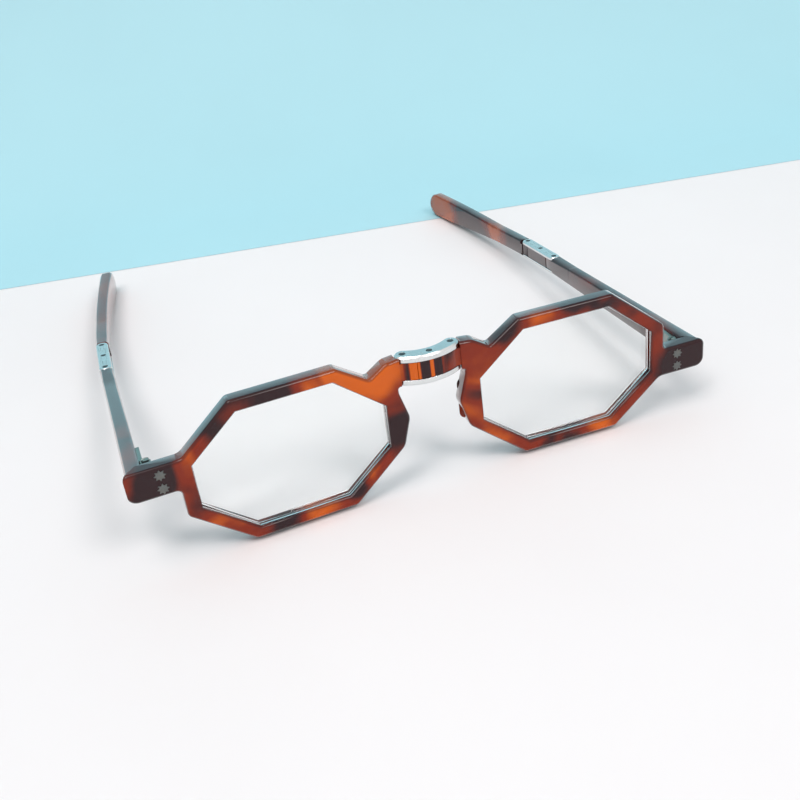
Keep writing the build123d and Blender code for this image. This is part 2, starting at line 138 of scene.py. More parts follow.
class MetalSettings(bpy.types.PropertyGroup):
    plate: bpy.props.FloatVectorProperty(
        name="Plate", description="Colour of the plated links", subtype="COLOR", size=3, min=0,
        max=1, default=(0.74, 0.76, 0.76))
    hinge: bpy.props.FloatVectorProperty(
        name="Hinge", description="Colour of the hinges", subtype="COLOR", size=3, min=0, max=1,
        default=(0.30, 0.35, 0.33))
    star: bpy.props.FloatVectorProperty(
        name="Star", description="Colour of the star heads", subtype="COLOR", size=3, min=0,
        max=1, default=(0.15, 0.16, 0.155))
    pin: bpy.props.FloatVectorProperty(
        name="Pin", description="Colour of the dulled pin ends", subtype="COLOR", size=3, min=0,
        max=1, default=(0.115, 0.135, 0.14))
    softness: bpy.props.FloatProperty(
        name="Edge softness", description="Width over which the metal's edges are rounded",
        subtype="DISTANCE", min=0, max=0.001, default=0.00006)


class FittingSettings(bpy.types.PropertyGroup):
    crown_radius: bpy.props.FloatProperty(
        name="Crown radius", description="Radius of a peened pin end", subtype="DISTANCE",
        min=0.0002, max=0.002, default=0.00072)
    crown_rise: bpy.props.FloatProperty(
        name="Crown rise", description="How far a pin end stands proud", subtype="DISTANCE",
        min=0, max=0.0005, default=0.00010)
    screw_radius: bpy.props.FloatProperty(
        name="Screw head radius", description="Radius of the hinge screw's head",
        subtype="DISTANCE", min=0.0003, max=0.002, default=0.00086)
    screw_rise: bpy.props.FloatProperty(
        name="Screw head rise", description="Height of the hinge screw's crown",
        subtype="DISTANCE", min=0, max=0.001, default=0.00022)
    slot_share: bpy.props.FloatProperty(
        name="Slot share", description="Width of the screwdriver slot over the head's radius",
        min=0, max=1, default=0.34)
    star_radius: bpy.props.FloatProperty(
        name="Star radius", description="Radius of a star head over its points",
        subtype="DISTANCE", min=0.0005, max=0.003, default=0.00135)
    star_waist: bpy.props.FloatProperty(
        name="Star waist", description="Radius between the points over the radius at them",
        min=0.3, max=1, default=0.62)
    star_rise: bpy.props.FloatProperty(
        name="Star rise", description="How far the middle of a star head stands proud",
        subtype="DISTANCE", min=0, max=0.0005, default=0.00010)


class StageSettings(bpy.types.PropertyGroup):
    floor: bpy.props.FloatVectorProperty(
        name="Floor", description="Colour of the paper floor", subtype="COLOR", size=3, min=0,
        max=1, default=(0.90, 0.862, 0.868))
    wall: bpy.props.FloatVectorProperty(
        name="Wall", description="Colour of the backdrop", subtype="COLOR", size=3, min=0,
        max=1, default=(0.455, 0.75, 0.83))
    camera_place: bpy.props.FloatVectorProperty(
        name="Camera place", description="Where the camera stands", subtype="TRANSLATION",
        size=3, default=(-0.0644, -0.24664, 0.14705))
    camera_turn: bpy.props.FloatVectorProperty(
        name="Camera turn", description="How the camera is turned", subtype="EULER", size=3,
        default=(math.radians(56.2572), math.radians(5.1457), math.radians(-21.1497)))
    focal_length: bpy.props.FloatProperty(
        name="Focal length", description="Focal length in millimetres on a 36 mm frame", min=10,
        max=200, default=45.0)


# Meshes worked out as arrays

def grid_mesh(name, points, closed_round):
    """A mesh over an array of points [rows, columns, 3]: each cell of the grid is one quad.

    With closed_round the last column joins the first one."""
    rows, columns = points.shape[:2]
    index = np.arange(rows * columns).reshape(rows, columns)
    after = np.roll(index, -1, axis=1) if closed_round else index[:, 1:]
    here = index if closed_round else index[:, :-1]
    quads = np.stack([here[:-1], after[:-1], after[1:], here[1:]], axis=-1).reshape(-1, 4)
    mesh = bpy.data.meshes.new(name)
    mesh.from_pydata(points.reshape(-1, 3).tolist(), [], quads.tolist())
    return mesh


def finished(mesh, sharp_degrees):
    """Merges the mesh's doubles, turns its faces outwards and smooths all but its sharp edges."""
    merge_distance, least_edge = 1e-6, 1e-7
    work = bmesh.new()
    work.from_mesh(mesh)
    bmesh.ops.remove_doubles(work, verts=work.verts, dist=merge_distance)
    bmesh.ops.dissolve_degenerate(work, edges=work.edges, dist=least_edge)
    bmesh.ops.recalc_face_normals(work, faces=work.faces)
    work.to_mesh(mesh)
    work.free()
    mesh.shade_smooth()
    mesh.set_sharp_from_angle(angle=math.radians(sharp_degrees))
    mesh.update()
    return mesh


def placed_object(name, mesh, body, material):
    """A piece of one material that rides on a body."""
    piece = bpy.data.objects.new(name, mesh)
    bpy.context.scene.collection.objects.link(piece)
    mesh.materials.clear()
    mesh.materials.append(material)
    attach(piece, body)
    return piece


def disc_dome(radius, rise, rows=7, columns=40):
    """A low dome: height = rise * (1 - r^2) over a circle, closed under its rim by a short wall.

    r runs from 0 at the middle to 1 at the rim, where the wall goes down by one more rise."""
    r = np.concatenate([np.linspace(0, 1, rows), [1.0, 0.0]])
    height = np.concatenate([rise * (1 - np.linspace(0, 1, rows) ** 2), [-rise, -rise]])
    turn = np.linspace(0, 2 * math.pi, columns, endpoint=False)
    x = radius * r[:, None] * np.cos(turn)
    y = radius * r[:, None] * np.sin(turn)
    return np.stack([x, y, np.broadcast_to(height[:, None], x.shape)], axis=-1)


def slotted_dome(radius, rise, slot_share, rows=9, columns=64):
    """A dome with a screwdriver slot: the height sinks by two rises in the inner half of the
    slot, and in a straight slope from there to a third beyond its edge."""
    points = disc_dome(radius, rise, rows, columns)
    across = np.abs(points[..., 1]) / (radius * slot_share / 2)
    deep, ended = 1 / 2, 4 / 3
    sink = np.clip((ended - across) / (ended - deep), 0, 1)
    points[:rows, :, 2] -= 2 * rise * sink[:rows]
    return points


def star_dome(radius, waist, rise, points_count=8, rows=5):
    """A faceted star: the outline's radius goes to and fro between radius and radius * waist, and
    each ridge and valley falls from the middle to the outline in a straight line."""
    columns = 2 * points_count
    turn = 2 * math.pi * np.arange(columns) / columns
    reach = np.where(np.arange(columns) % 2 == 0, radius, radius * waist)
    share = np.concatenate([np.linspace(0, 1, rows), [1.0, 0.0]])
    height = np.concatenate([rise * (1 - np.linspace(0, 1, rows)), [-rise, -rise]])
    x = share[:, None] * reach * np.sin(turn)
    y = share[:, None] * reach * np.cos(turn)
    return np.stack([x, y, np.broadcast_to(height[:, None], x.shape)], axis=-1)


def octagon_reach(turn, width, height, flat_top, flat_side, grow):
    """How far the edge of an eight-sided lens is from its middle at each angle of turn.

    Every side is a line at a distance d from the middle whose normal points at an angle a, and
    the edge lies at the least of d / cos(turn - a) over the sides that face that way."""
    corner = np.array([flat_top * width, height]), np.array([width, flat_side * height])
    normal = np.array([corner[0][1] - corner[1][1], corner[1][0] - corner[0][0]])
    normal = normal / np.linalg.norm(normal)
    slant, lean = normal @ corner[0], math.atan2(normal[1], normal[0])
    quarter_turn, half_turn = math.pi / 2, math.pi
    angles = np.array([0, quarter_turn, half_turn, -quarter_turn,
                       lean, half_turn - lean, lean - half_turn, -lean])
    reach = np.array([width, height, width, height, slant, slant, slant, slant]) + grow
    share = np.cos(turn[:, None] - angles)
    least_share = 0.05
    away = reach / np.maximum(share, least_share)
    return np.where(share > least_share, away, np.inf).min(axis=1)


def lens_points(width, height, settings, rows=26, steps=12):
    """A lens as one closed sheet: out over the front, over the ridged edge and back over the rear.

    width and height are half sizes, and each of the eight sides is cut into a number of steps.
    Front and rear are parts of spheres about one centre on the axis behind the lens: a point at
    a distance d from the axis has a depth of radius - sqrt(radius^2 - d^2)."""
    shares = settings.flat_top, settings.flat_side
    half_turn, whole_turn = math.pi, 2 * math.pi
    sides = np.array([math.atan2(height * shares[1], width), math.atan2(height, width * shares[0])])
    corners = np.concatenate([sides, half_turn - sides[::-1], half_turn + sides,
                              whole_turn - sides[::-1]])
    ends = np.append(corners[1:], corners[0] + whole_turn)
    turn = np.linspace(corners, ends, steps, endpoint=False).T.ravel()
    edge = octagon_reach(turn, width, height, *shares, -LENS_CLEARANCE)
    lip = octagon_reach(turn, width, height, *shares, settings.ridge - LENS_CLEARANCE)
    flat = np.linspace(0, 1, rows)[:, None] * edge
    front, rear = settings.curve, settings.curve - settings.thickness
    front_depth = front - np.sqrt(front ** 2 - flat ** 2)
    rear_depth = settings.thickness + rear - np.sqrt(rear ** 2 - flat ** 2)
    middle = settings.thickness / 2 + ((width + height) / 2) ** 2 / (2 * settings.curve)
    ridge_depth = middle + LENS_RIDGE_HALF * np.array([[-1], [0], [1]]) * np.ones_like(turn)
    reach = np.concatenate([flat, edge[None], lip[None], edge[None], flat[::-1]])
    depth = np.concatenate([front_depth, ridge_depth, rear_depth[::-1]])
    return np.stack([reach * np.cos(turn), depth, reach * np.sin(turn)], axis=-1)


def lens_frame(side):
    """The lens's own directions, across, back and up, from the lean of the front and its wrap."""
    up = Vector(joint_of_name["left_bridge_fold"]["axis"]).normalized()
    wrap = -FRONT_WRAP if side == "left" else FRONT_WRAP
    across = Vector((math.cos(wrap), math.sin(wrap), 0))
    across = (across - up * across.dot(up)).normalized()
    return np.array([across, up.cross(across), up])


def upward_axis(joint):
    """A joint's axis, turned so that it points upwards."""
    axis = Vector(joint_of_name[joint]["axis"])
    return axis * math.copysign(1, axis.z)


def facing(place, normal, across):
    """A transform that sets a flat piece at a place, facing along normal, turned to across."""
    z = Vector(normal).normalized()
    x = (Vector(across) - z * Vector(across).dot(z)).normalized()
    y = z.cross(x)
    turn = Matrix((x, y, z)).transposed().to_4x4()
    return Matrix.Translation(Vector(place)) @ turn


def node_points(node):
    """A node's vertices as an array of points."""
    vertices = frame["nodes"][node].data.vertices
    points = np.empty(3 * len(vertices))
    vertices.foreach_get("co", points)
    return points.reshape(-1, 3)


def end_points(node, axis):
    """The middle of both ends of a round pin: its vertices are projected on its axis."""
    end_share = 0.02
    points = node_points(node)
    axis = np.array(axis) / np.linalg.norm(axis)
    along = points @ axis
    low, high = along.min(), along.max()
    near = (high - low) * end_share
    bottom = points[along < low + near]
    top = points[along > high - near]
    middle = [(p.min(axis=0) + p.max(axis=0)) / 2 for p in (bottom, top)]
    return Vector(middle[0]), Vector(middle[1])


# Shader node helpers

def new_group(name, inputs, outputs):
    """An empty shader node group with the sockets given as (name, socket type, default)."""
    group = bpy.data.node_groups.new(name, "ShaderNodeTree")
    for socket, kind, default in inputs:
        made = group.interface.new_socket(name=socket, in_out="INPUT", socket_type=kind)
        if default is not None:
            made.default_value = default
    for socket, kind in outputs:
        group.interface.new_socket(name=socket, in_out="OUTPUT", socket_type=kind)
    return group, group.nodes.new("NodeGroupInput"), group.nodes.new("NodeGroupOutput")


def math_node(tree, operation, a, b=None, clamp=False):
    node = tree.nodes.new("ShaderNodeMath")
    node.operation = operation
    node.use_clamp = clamp
    for socket, value in zip(node.inputs, (a, b)):
        if value is None:
            continue
        if isinstance(value, (int, float)):
            socket.default_value = value
        else:
            tree.links.new(value, socket)
    return node.outputs[0]


def mix_colour(tree, share, a, b):
    node = tree.nodes.new("ShaderNodeMix")
    node.data_type = "RGBA"
    for name, value in (("Factor_Float", share), ("A_Color", a), ("B_Color", b)):
        socket = next(s for s in node.inputs if s.identifier == name)
        if isinstance(value, (int, float, tuple)):
            socket.default_value = value
        else:
            tree.links.new(value, socket)
    return next(s for s in node.outputs if s.identifier == "Result_Color")


def noise_node(tree, where, scale, detail, distortion=0.0):
    node = tree.nodes.new("ShaderNodeTexNoise")
    node.inputs["Detail"].default_value = detail
    node.inputs["Distortion"].default_value = distortion
    tree.links.new(where, node.inputs["Vector"])
    if isinstance(scale, (int, float)):
        node.inputs["Scale"].default_value = scale
    else:
        tree.links.new(scale, node.inputs["Scale"])
    return node.outputs["Fac"]


def band(tree, value, low, high):
    """0 below low, 1 above high and a smooth rise between them."""
    node = tree.nodes.new("ShaderNodeMapRange")
    node.interpolation_type = "SMOOTHSTEP"
    node.inputs["From Min"].default_value = low
    node.inputs["From Max"].default_value = high
    tree.links.new(value, node.inputs["Value"])
    return node.outputs["Result"]


def ball_mask(tree, where, centre, reach):
    """1 around a place, falling smoothly to 0 from a quarter of the reach to the whole of it."""
    away = tree.nodes.new("ShaderNodeVectorMath")
    away.operation = "DISTANCE"
    tree.links.new(where, away.inputs[0])
    away.inputs[1].default_value = centre
    return math_node(tree, "SUBTRACT", 1.0, band(tree, away.outputs["Value"], reach / 4, reach))


def make_tortoiseshell_group():
    """Clouded patches: warped noise is cut into dark, red-brown and amber by two soft bands."""
    fine_ratio, fine_share = 4.3, 0.09
    rust_band, amber_band = (0.36, 0.56), (0.57, 0.82)
    group, enter, leave = new_group(
        "tortoiseshell",
        [("Coordinate", "NodeSocketVector", None), ("Patch Scale", "NodeSocketFloat", 60.0),
         ("Warmth", "NodeSocketFloat", 0.0), ("Amber", "NodeSocketColor", None),
         ("Rust", "NodeSocketColor", None), ("Umber", "NodeSocketColor", None)],
        [("Color", "NodeSocketColor")])
    where, scale, warmth = (enter.outputs[n] for n in ("Coordinate", "Patch Scale", "Warmth"))
    large = noise_node(group, where, scale, detail=1.6, distortion=0.7)
    fine_scale = math_node(group, "MULTIPLY", scale, fine_ratio)
    fine = noise_node(group, where, fine_scale, detail=4.0, distortion=0.6)
    fine = math_node(group, "MULTIPLY", math_node(group, "SUBTRACT", fine, 0.5), fine_share)
    level = math_node(group, "ADD", math_node(group, "ADD", large, fine), warmth)
    to_rust = band(group, level, *rust_band)
    to_amber = band(group, level, *amber_band)
    colour = mix_colour(group, to_rust, enter.outputs["Umber"], enter.outputs["Rust"])
    colour = mix_colour(group, to_amber, colour, enter.outputs["Amber"])
    group.links.new(colour, leave.inputs["Color"])
    return group


def make_wear_group():
    """Handling marks: specks gathered in clouds raise the roughness and give a faint relief."""
    cloud_scale, cloud_band, speck_band = 140.0, (0.42, 0.68), (0.4, 0.7)
    group, enter, leave = new_group(
        "handling_wear",
        [("Coordinate", "NodeSocketVector", None), ("Base Roughness", "NodeSocketFloat", 0.1),
         ("Wear", "NodeSocketFloat", 0.1), ("Grain", "NodeSocketFloat", 900.0)],
        [("Roughness", "NodeSocketFloat"), ("Height", "NodeSocketFloat"),
         ("Mask", "NodeSocketFloat")])
    where = enter.outputs["Coordinate"]
    cloud = noise_node(group, where, cloud_scale, detail=3.0)
    specks = noise_node(group, where, enter.outputs["Grain"], detail=5.0, distortion=0.4)
    mask = math_node(group, "MULTIPLY", band(group, cloud, *cloud_band),
                     band(group, specks, *speck_band))
    added = math_node(group, "MULTIPLY", mask, enter.outputs["Wear"])
    rough = math_node(group, "ADD", enter.outputs["Base Roughness"], added)
    group.links.new(rough, leave.inputs["Roughness"])
    group.links.new(specks, leave.inputs["Height"])
    group.links.new(mask, leave.inputs["Mask"])
    return group


wear_group = make_wear_group()
tortoiseshell_group = make_tortoiseshell_group()


def object_coordinates(tree):
    return tree.nodes.new("ShaderNodeTexCoord").outputs["Object"]


def add_wear(tree, shader, base, wear, grain, relief):
    """Puts handling marks on a shader: its base roughness, how much they add to it, how many
    specks there are to the metre, and how strong their relief is. Gives the mask of the marks."""
    relief_depth = 0.00002
    node = tree.nodes.new("ShaderNodeGroup")
    node.node_tree = wear_group
    where = object_coordinates(tree)
    tree.links.new(where, node.inputs["Coordinate"])
    node.inputs["Base Roughness"].default_value = base
    node.inputs["Wear"].default_value = wear
    node.inputs["Grain"].default_value = grain
    tree.links.new(node.outputs["Roughness"], shader.inputs["Roughness"])
    bump = tree.nodes.new("ShaderNodeBump")
    bump.inputs["Strength"].default_value = relief
    bump.inputs["Distance"].default_value = relief_depth
    tree.links.new(node.outputs["Height"], bump.inputs["Height"])
    tree.links.new(bump.outputs["Normal"], shader.inputs["Normal"])
    return node.outputs["Mask"]


def new_material(name):
    material = bpy.data.materials.new(name)
    material.use_nodes = True
    return material, material.node_tree, material.node_tree.nodes["Principled BSDF"]


def metal_material(name, colour, stain, roughness, wear, stain_share):
    """A plated metal: its colour is stained in clouds, and its gloss is broken by fine wear."""
    cloud_scale, cloud_band, worn_share = 260.0, (0.42, 0.72), 0.15
    material, tree, shader = new_material(name)
    mask = add_wear(tree, shader, roughness, wear, grain=1400.0, relief=0.25)
    cloud = noise_node(tree, object_coordinates(tree), cloud_scale, detail=3.0, distortion=0.5)
    share = math_node(tree, "MULTIPLY", band(tree, cloud, *cloud_band), stain_share)
    worn = math_node(tree, "MULTIPLY", mask, worn_share)
    share = math_node(tree, "ADD", share, worn, clamp=True)
    stained = mix_colour(tree, share, (*colour, 1.0), (*stain, 1.0))
    tree.links.new(stained, shader.inputs["Base Color"])
    shader.inputs["Metallic"].default_value = 1.0
    return material


# Acetate

# The sheet that the fronts and temples are cut from: its own warmth, and the light and dark
# places on it, each with its place, reach and added warmth
SHEET_WARMTH = -0.02
PATCHES = (
    ((-0.0200, -0.0702, 0.0318), 0.013, 0.26), ((-0.0107, -0.0702, 0.0323), 0.009, 0.28),
    ((-0.0092, -0.0714, 0.0164), 0.008, -0.10), ((-0.0167, -0.0718, 0.0109), 0.007, 0.22),
    ((-0.0213, -0.0722, 0.0060), 0.005, -0.12), ((-0.0300, -0.0725, 0.0030), 0.007, 0.24),
    ((-0.0375, -0.0725, 0.0030), 0.006, -0.14), ((-0.0449, -0.0724, 0.0032), 0.008, 0.24),
    ((-0.0515, -0.0721, 0.0081), 0.006, 0.08), ((-0.0552, -0.0714, 0.0164), 0.007, -0.10),
    ((-0.0558, -0.0709, 0.0235), 0.008, 0.12), ((-0.0644, -0.0709, 0.0227), 0.008, -0.24),
    ((-0.0458, -0.0700, 0.0350), 0.009, -0.10), ((-0.0358, -0.0698, 0.0367), 0.009, -0.14),
    ((0.0111, -0.0705, 0.0283), 0.009, 0.14), ((0.0184, -0.0699, 0.0355), 0.007, -0.22),
    ((0.0273, -0.0698, 0.0377), 0.006, 0.20), ((0.0361, -0.0698, 0.0373), 0.006, -0.10),
    ((0.0433, -0.0699, 0.0359), 0.006, -0.06), ((0.0531, -0.0705, 0.0277), 0.006, 0.10),
    ((0.0587, -0.0716, 0.0143), 0.008, -0.04), ((0.0531, -0.0722, 0.0068), 0.007, 0.05),
    ((0.0426, -0.0725, 0.0024), 0.008, 0.24), ((0.0307, -0.0725, 0.0022), 0.006, -0.10),
    ((0.0227, -0.0725, 0.0026), 0.006, 0.08), ((0.0144, -0.0720, 0.0087), 0.008, 0.20),
    ((0.0088, -0.0712, 0.0191), 0.009, 0.10), ((0.0672, -0.0715, 0.0151), 0.013, -0.40),
    ((-0.0665, -0.0200, 0.0120), 0.056, -0.24), ((0.0665, -0.0200, 0.0120), 0.056, -0.12),
    ((-0.0600, 0.0600, 0.0060), 0.026, 0.02), ((0.0575, 0.0650, 0.0035), 0.012, 0.44),
    ((0.0640, 0.0300, 0.0050), 0.010, 0.34), ((0.0590, 0.0480, 0.0070), 0.010, -0.10),
)

# The stripes across the bridge's block: the ball that they stay within, and each one's place
# across, half width and added warmth
BLOCK_PLACE, BLOCK_REACH = (0.0, -0.0710, 0.0310), 0.0105
STRIPES = ((-0.0040, 0.0013, 0.55), (-0.0058, 0.0006, -0.3), (-0.0018, 0.0011, -0.35),
           (-0.0003, 0.0005, 0.35), (0.0012, 0.0010, -0.3), (0.0040, 0.0016, -0.15))


def turned_face_shade_mask(tree):
    """Painted shade: 0 on the faces of the fronts' sheet and 1 on the faces turned up and down, with less on
    the flanks, where the colour is darkened to umber: the surface's direction is weighed by axis, and its length
    is cut by a soft band."""
    axis_weights = (0.55, 0.0, 1.0)
    shade_band = (0.20, 0.75)
    normal = tree.nodes.new("ShaderNodeTexCoord").outputs["Normal"]
    weighed = tree.nodes.new("ShaderNodeVectorMath")
    weighed.operation = "MULTIPLY"
    tree.links.new(normal, weighed.inputs[0])
    weighed.inputs[1].default_value = axis_weights
    length = tree.nodes.new("ShaderNodeVectorMath")
    length.operation = "LENGTH"
    tree.links.new(weighed.outputs["Vector"], length.inputs[0])
    return band(tree, length.outputs["Value"], *shade_band)


def warmth_at(tree, where):
    """How far each place of the sheet leans to amber (above 0) or to umber (below 0)."""
    stripe_core_share, stripe_fade_share = 0.6, 1.3
    warmth = SHEET_WARMTH
    for centre, reach, strength in PATCHES:
        mask = ball_mask(tree, where, centre, reach)
        warmth = math_node(tree, "ADD", math_node(tree, "MULTIPLY", mask, strength), warmth)
    apart = tree.nodes.new("ShaderNodeSeparateXYZ")
    tree.links.new(where, apart.inputs[0])
    block = ball_mask(tree, where, BLOCK_PLACE, BLOCK_REACH)
    for place, half, strength in STRIPES:
        away = math_node(tree, "ABSOLUTE", math_node(tree, "SUBTRACT", apart.outputs["X"], place))
        faded = band(tree, away, half * stripe_core_share, half * stripe_fade_share)
        stripe = math_node(tree, "SUBTRACT", 1.0, faded)
        share = math_node(tree, "MULTIPLY", math_node(tree, "MULTIPLY", stripe, block), strength)
        warmth = math_node(tree, "ADD", share, warmth)
    return warmth


def acetate_material(settings):
    """Polished tortoiseshell: clouded patches under a clear gloss, with painted shade on the faces turned up and
    down.
    """
    shade_share, coat_band = 0.62, (0.32, 0.62)
    material, tree, shader = new_material("tortoiseshell_acetate")
    where = object_coordinates(tree)
    node = tree.nodes.new("ShaderNodeGroup")
    node.node_tree = tortoiseshell_group
    tree.links.new(where, node.inputs["Coordinate"])
    tree.links.new(warmth_at(tree, where), node.inputs["Warmth"])
    node.inputs["Patch Scale"].default_value = 1.0 / settings.patch
    for name in ("Amber", "Rust", "Umber"):
        node.inputs[name].default_value = (*getattr(settings, name.lower()), 1.0)
    # Painted shade: the faces turned up and down, and less the flanks, are mixed towards umber
    share = math_node(tree, "MULTIPLY", turned_face_shade_mask(tree), shade_share)
    deep = mix_colour(tree, share, node.outputs["Color"], (*settings.umber, 1.0))
    tree.links.new(deep, shader.inputs["Base Color"])
    add_wear(tree, shader, settings.polish, wear=0.06, grain=700.0, relief=0.03)
    shader.inputs["IOR"].default_value = 1.49
    shader.inputs["Specular IOR Level"].default_value = 0.36
    slant = tree.nodes.new("ShaderNodeLayerWeight")
    slant.inputs["Blend"].default_value = 0.5
    tree.links.new(band(tree, slant.outputs["Facing"], *coat_band), shader.inputs["Coat Weight"])
    shader.inputs["Coat IOR"].default_value = 1.75
    shader.inputs["Coat Roughness"].default_value = 0.06
    return material


def dressed_copy(node, material, softness, sharp_degrees):
    """Stands for a node: its triangles merged and smoothed, with its crisp edges rounded off."""
    mesh = frame["nodes"][node].data.copy()
    mesh.name = node + "_dressed"
    piece = placed_object(mesh.name, finished(mesh, sharp_degrees), body_of_node[node],
                          material)
    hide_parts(node)
    if softness:
        bevel = piece.modifiers.new("softened edges", "BEVEL")
        bevel.width = softness
        bevel.segments = 3
        bevel.limit_method = "ANGLE"
        bevel.angle_limit = math.radians(sharp_degrees)
    even = piece.modifiers.new("even shading", "WEIGHTED_NORMAL")
    even.keep_sharp = True


def clear_material(settings):
    """Polished glass, faintly dusty, that lets shadow rays and diffuse rays straight through."""
    dust_scale, dust_band, dust_share = 260.0, (0.45, 0.8), 0.985
    material, tree, shader = new_material("clear_lens")
    add_wear(tree, shader, 0.0, wear=0.02, grain=500.0, relief=0.0)
    dust = noise_node(tree, object_coordinates(tree), dust_scale, detail=6.0)
    dusty = (*(c * dust_share for c in settings.tint), 1.0)
    tinted = mix_colour(tree, band(tree, dust, *dust_band), (*settings.tint, 1.0), dusty)
    tree.links.new(tinted, shader.inputs["Base Color"])
    shader.inputs["IOR"].default_value = settings.index
    shader.inputs["Transmission Weight"].default_value = 1.0
    path = tree.nodes.new("ShaderNodeLightPath")
    passing = math_node(tree, "MAXIMUM", path.outputs["Is Shadow Ray"],
                        path.outputs["Is Diffuse Ray"])
    clear = tree.nodes.new("ShaderNodeBsdfTransparent")
    mix = tree.nodes.new("ShaderNodeMixShader")
    tree.links.new(passing, mix.inputs["Fac"])
    tree.links.new(shader.outputs["BSDF"], mix.inputs[1])
    tree.links.new(clear.outputs["BSDF"], mix.inputs[2])
    tree.links.new(mix.outputs["Shader"], tree.nodes["Material Output"].inputs["Surface"])
    return material


# Operators

class EYEGLASSES_OT_acetate(bpy.types.Operator):
    """Finishes the rims, the temples and the links' blocks as polished tortoiseshell"""
    bl_idname = "eyeglasses.acetate"
    bl_label = "Acetate Front and Temples"

    def execute(self, context):
        settings = context.scene.acetate_settings
        material = acetate_material(settings)
        for node, slot in slot_of_node.items():
            if slot == "acetate":
                dressed_copy(node, material, settings.softness, sharp_degrees=60)
        return {"FINISHED"}


class EYEGLASSES_OT_lenses(bpy.types.Operator):
    """Finishes both lenses as clear polished glass"""
    bl_idname = "eyeglasses.lenses"
    bl_label = "Lenses"

    def execute(self, context):
        settings = context.scene.lens_settings
        material = clear_material(settings)
        for side in SIDES:
            node = side + "_lens"
            axes = lens_frame(side)
            drawn = node_points(node) @ axes.T
            low, high = drawn.min(axis=0), drawn.max(axis=0)
            half = (high - low) / 2 - (settings.ridge - LENS_CLEARANCE)
            pole = np.array([(low[0] + high[0]) / 2, low[1], (low[2] + high[2]) / 2])
            points = (lens_points(half[0], half[2], settings) + pole) @ axes
            mesh = finished(grid_mesh(node + "_glass", points, True), sharp_degrees=20)
            piece = placed_object(mesh.name, mesh, body_of_node[node], material)
            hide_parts(node)
        return {"FINISHED"}


class EYEGLASSES_OT_metalwork(bpy.types.Operator):
    """Finishes the links' plates, the hinges, the star rivets and the pins"""
    bl_idname = "eyeglasses.metalwork"
    bl_label = "Links, Hinges and Rivets"

    def execute(self, context):
        settings = context.scene.metal_settings
        finishes = {
            "plate_metal": metal_material(
                "plated_link", settings.plate, stain=(0.52, 0.57, 0.57), roughness=0.17,
                wear=0.14, stain_share=0.22),
            "hinge_metal": metal_material(
                "dull_hinge", settings.hinge, stain=(0.14, 0.20, 0.18), roughness=0.34,
                wear=0.25, stain_share=0.7),
            "star_metal": metal_material(
                "dull_star", settings.star, stain=(0.20, 0.19, 0.17), roughness=0.45,
                wear=0.2, stain_share=0.6),
            "rivet_metal": metal_material(
                "dark_pin", settings.pin, stain=(0.05, 0.06, 0.06), roughness=0.42,
                wear=0.2, stain_share=0.6),
        }
        for node, slot in slot_of_node.items():
            if slot in finishes:
                softness = 0 if slot == "rivet_metal" else settings.softness
                dressed_copy(node, finishes[slot], softness, sharp_degrees=26)
        return {"FINISHED"}


class EYEGLASSES_OT_pin_crowns(bpy.types.Operator):
    """Adds the peened ends of the links' pins and rivets"""
    bl_idname = "eyeglasses.pin_crowns"
    bl_label = "Peened Pin Ends"

    def execute(self, context):
        settings = context.scene.fitting_settings
        material = bpy.data.materials["dark_pin"]
        carriers = [("bridge_link", "left_bridge_fold")]
        carriers += [(side + "_link", side + "_link_front_fold") for side in SIDES]
        for body, joint in carriers:
            axis = upward_axis(joint)
            for node in bodies[body]:
                if slot_of_node[node] != "rivet_metal":
                    continue
                low, high = end_points(node, axis)
                for word, place, normal in (("upper", high, axis), ("lower", low, -axis)):
                    points = disc_dome(settings.crown_radius, settings.crown_rise)
                    mesh = grid_mesh(node + "_" + word + "_crown", points, True)
                    mesh = finished(mesh, sharp_degrees=40)
                    mesh.transform(facing(place, normal, (1, 0, 0)))
                    placed_object(mesh.name, mesh, body, material)
        return {"FINISHED"}


class EYEGLASSES_OT_screw_heads(bpy.types.Operator):
    """Adds the slotted crown of each hinge screw"""
    bl_idname = "eyeglasses.screw_heads"
    bl_label = "Slotted Screw Heads"

    def execute(self, context):
        slot_direction = (1, 0.4, 0)
        settings = context.scene.fitting_settings
        material = bpy.data.materials["dull_hinge"]
        for side in SIDES:
            node = side + "_hinge_screw"
            axis = upward_axis(side + "_temple_fold")
            top = end_points(node, axis)[1]
            points = slotted_dome(settings.screw_radius, settings.screw_rise, settings.slot_share)
            mesh = finished(grid_mesh(side + "_screw_crown", points, True), sharp_degrees=40)
            mesh.transform(facing(top, axis, slot_direction))
            placed_object(mesh.name, mesh, body_of_node[node], material)
        return {"FINISHED"}


class EYEGLASSES_OT_star_heads(bpy.types.Operator):
    """Adds the faceted faces of the star rivets on the end pieces"""
    bl_idname = "eyeglasses.star_heads"
    bl_label = "Star Rivet Faces"

    def execute(self, context):
        settings = context.scene.fitting_settings
        material = bpy.data.materials["dull_star"]
        up = upward_axis("left_bridge_fold")
        for side in SIDES:
            toe = FRONT_WRAP if side == "left" else -FRONT_WRAP
            forward = Vector((-math.sin(toe), -math.cos(toe), 0))
            forward = (forward - up * forward.dot(up)).normalized()
            for word in ("upper", "lower"):
                node = side + "_star_rivet_" + word
                front = end_points(node, forward)[1]
                points = star_dome(settings.star_radius, settings.star_waist, settings.star_rise)
                mesh = finished(grid_mesh(node + "_face", points, True), sharp_degrees=5)
                mesh.transform(facing(front, forward, (1, 0, 0)))
                placed_object(mesh.name, mesh, body_of_node[node], material)
        return {"FINISHED"}


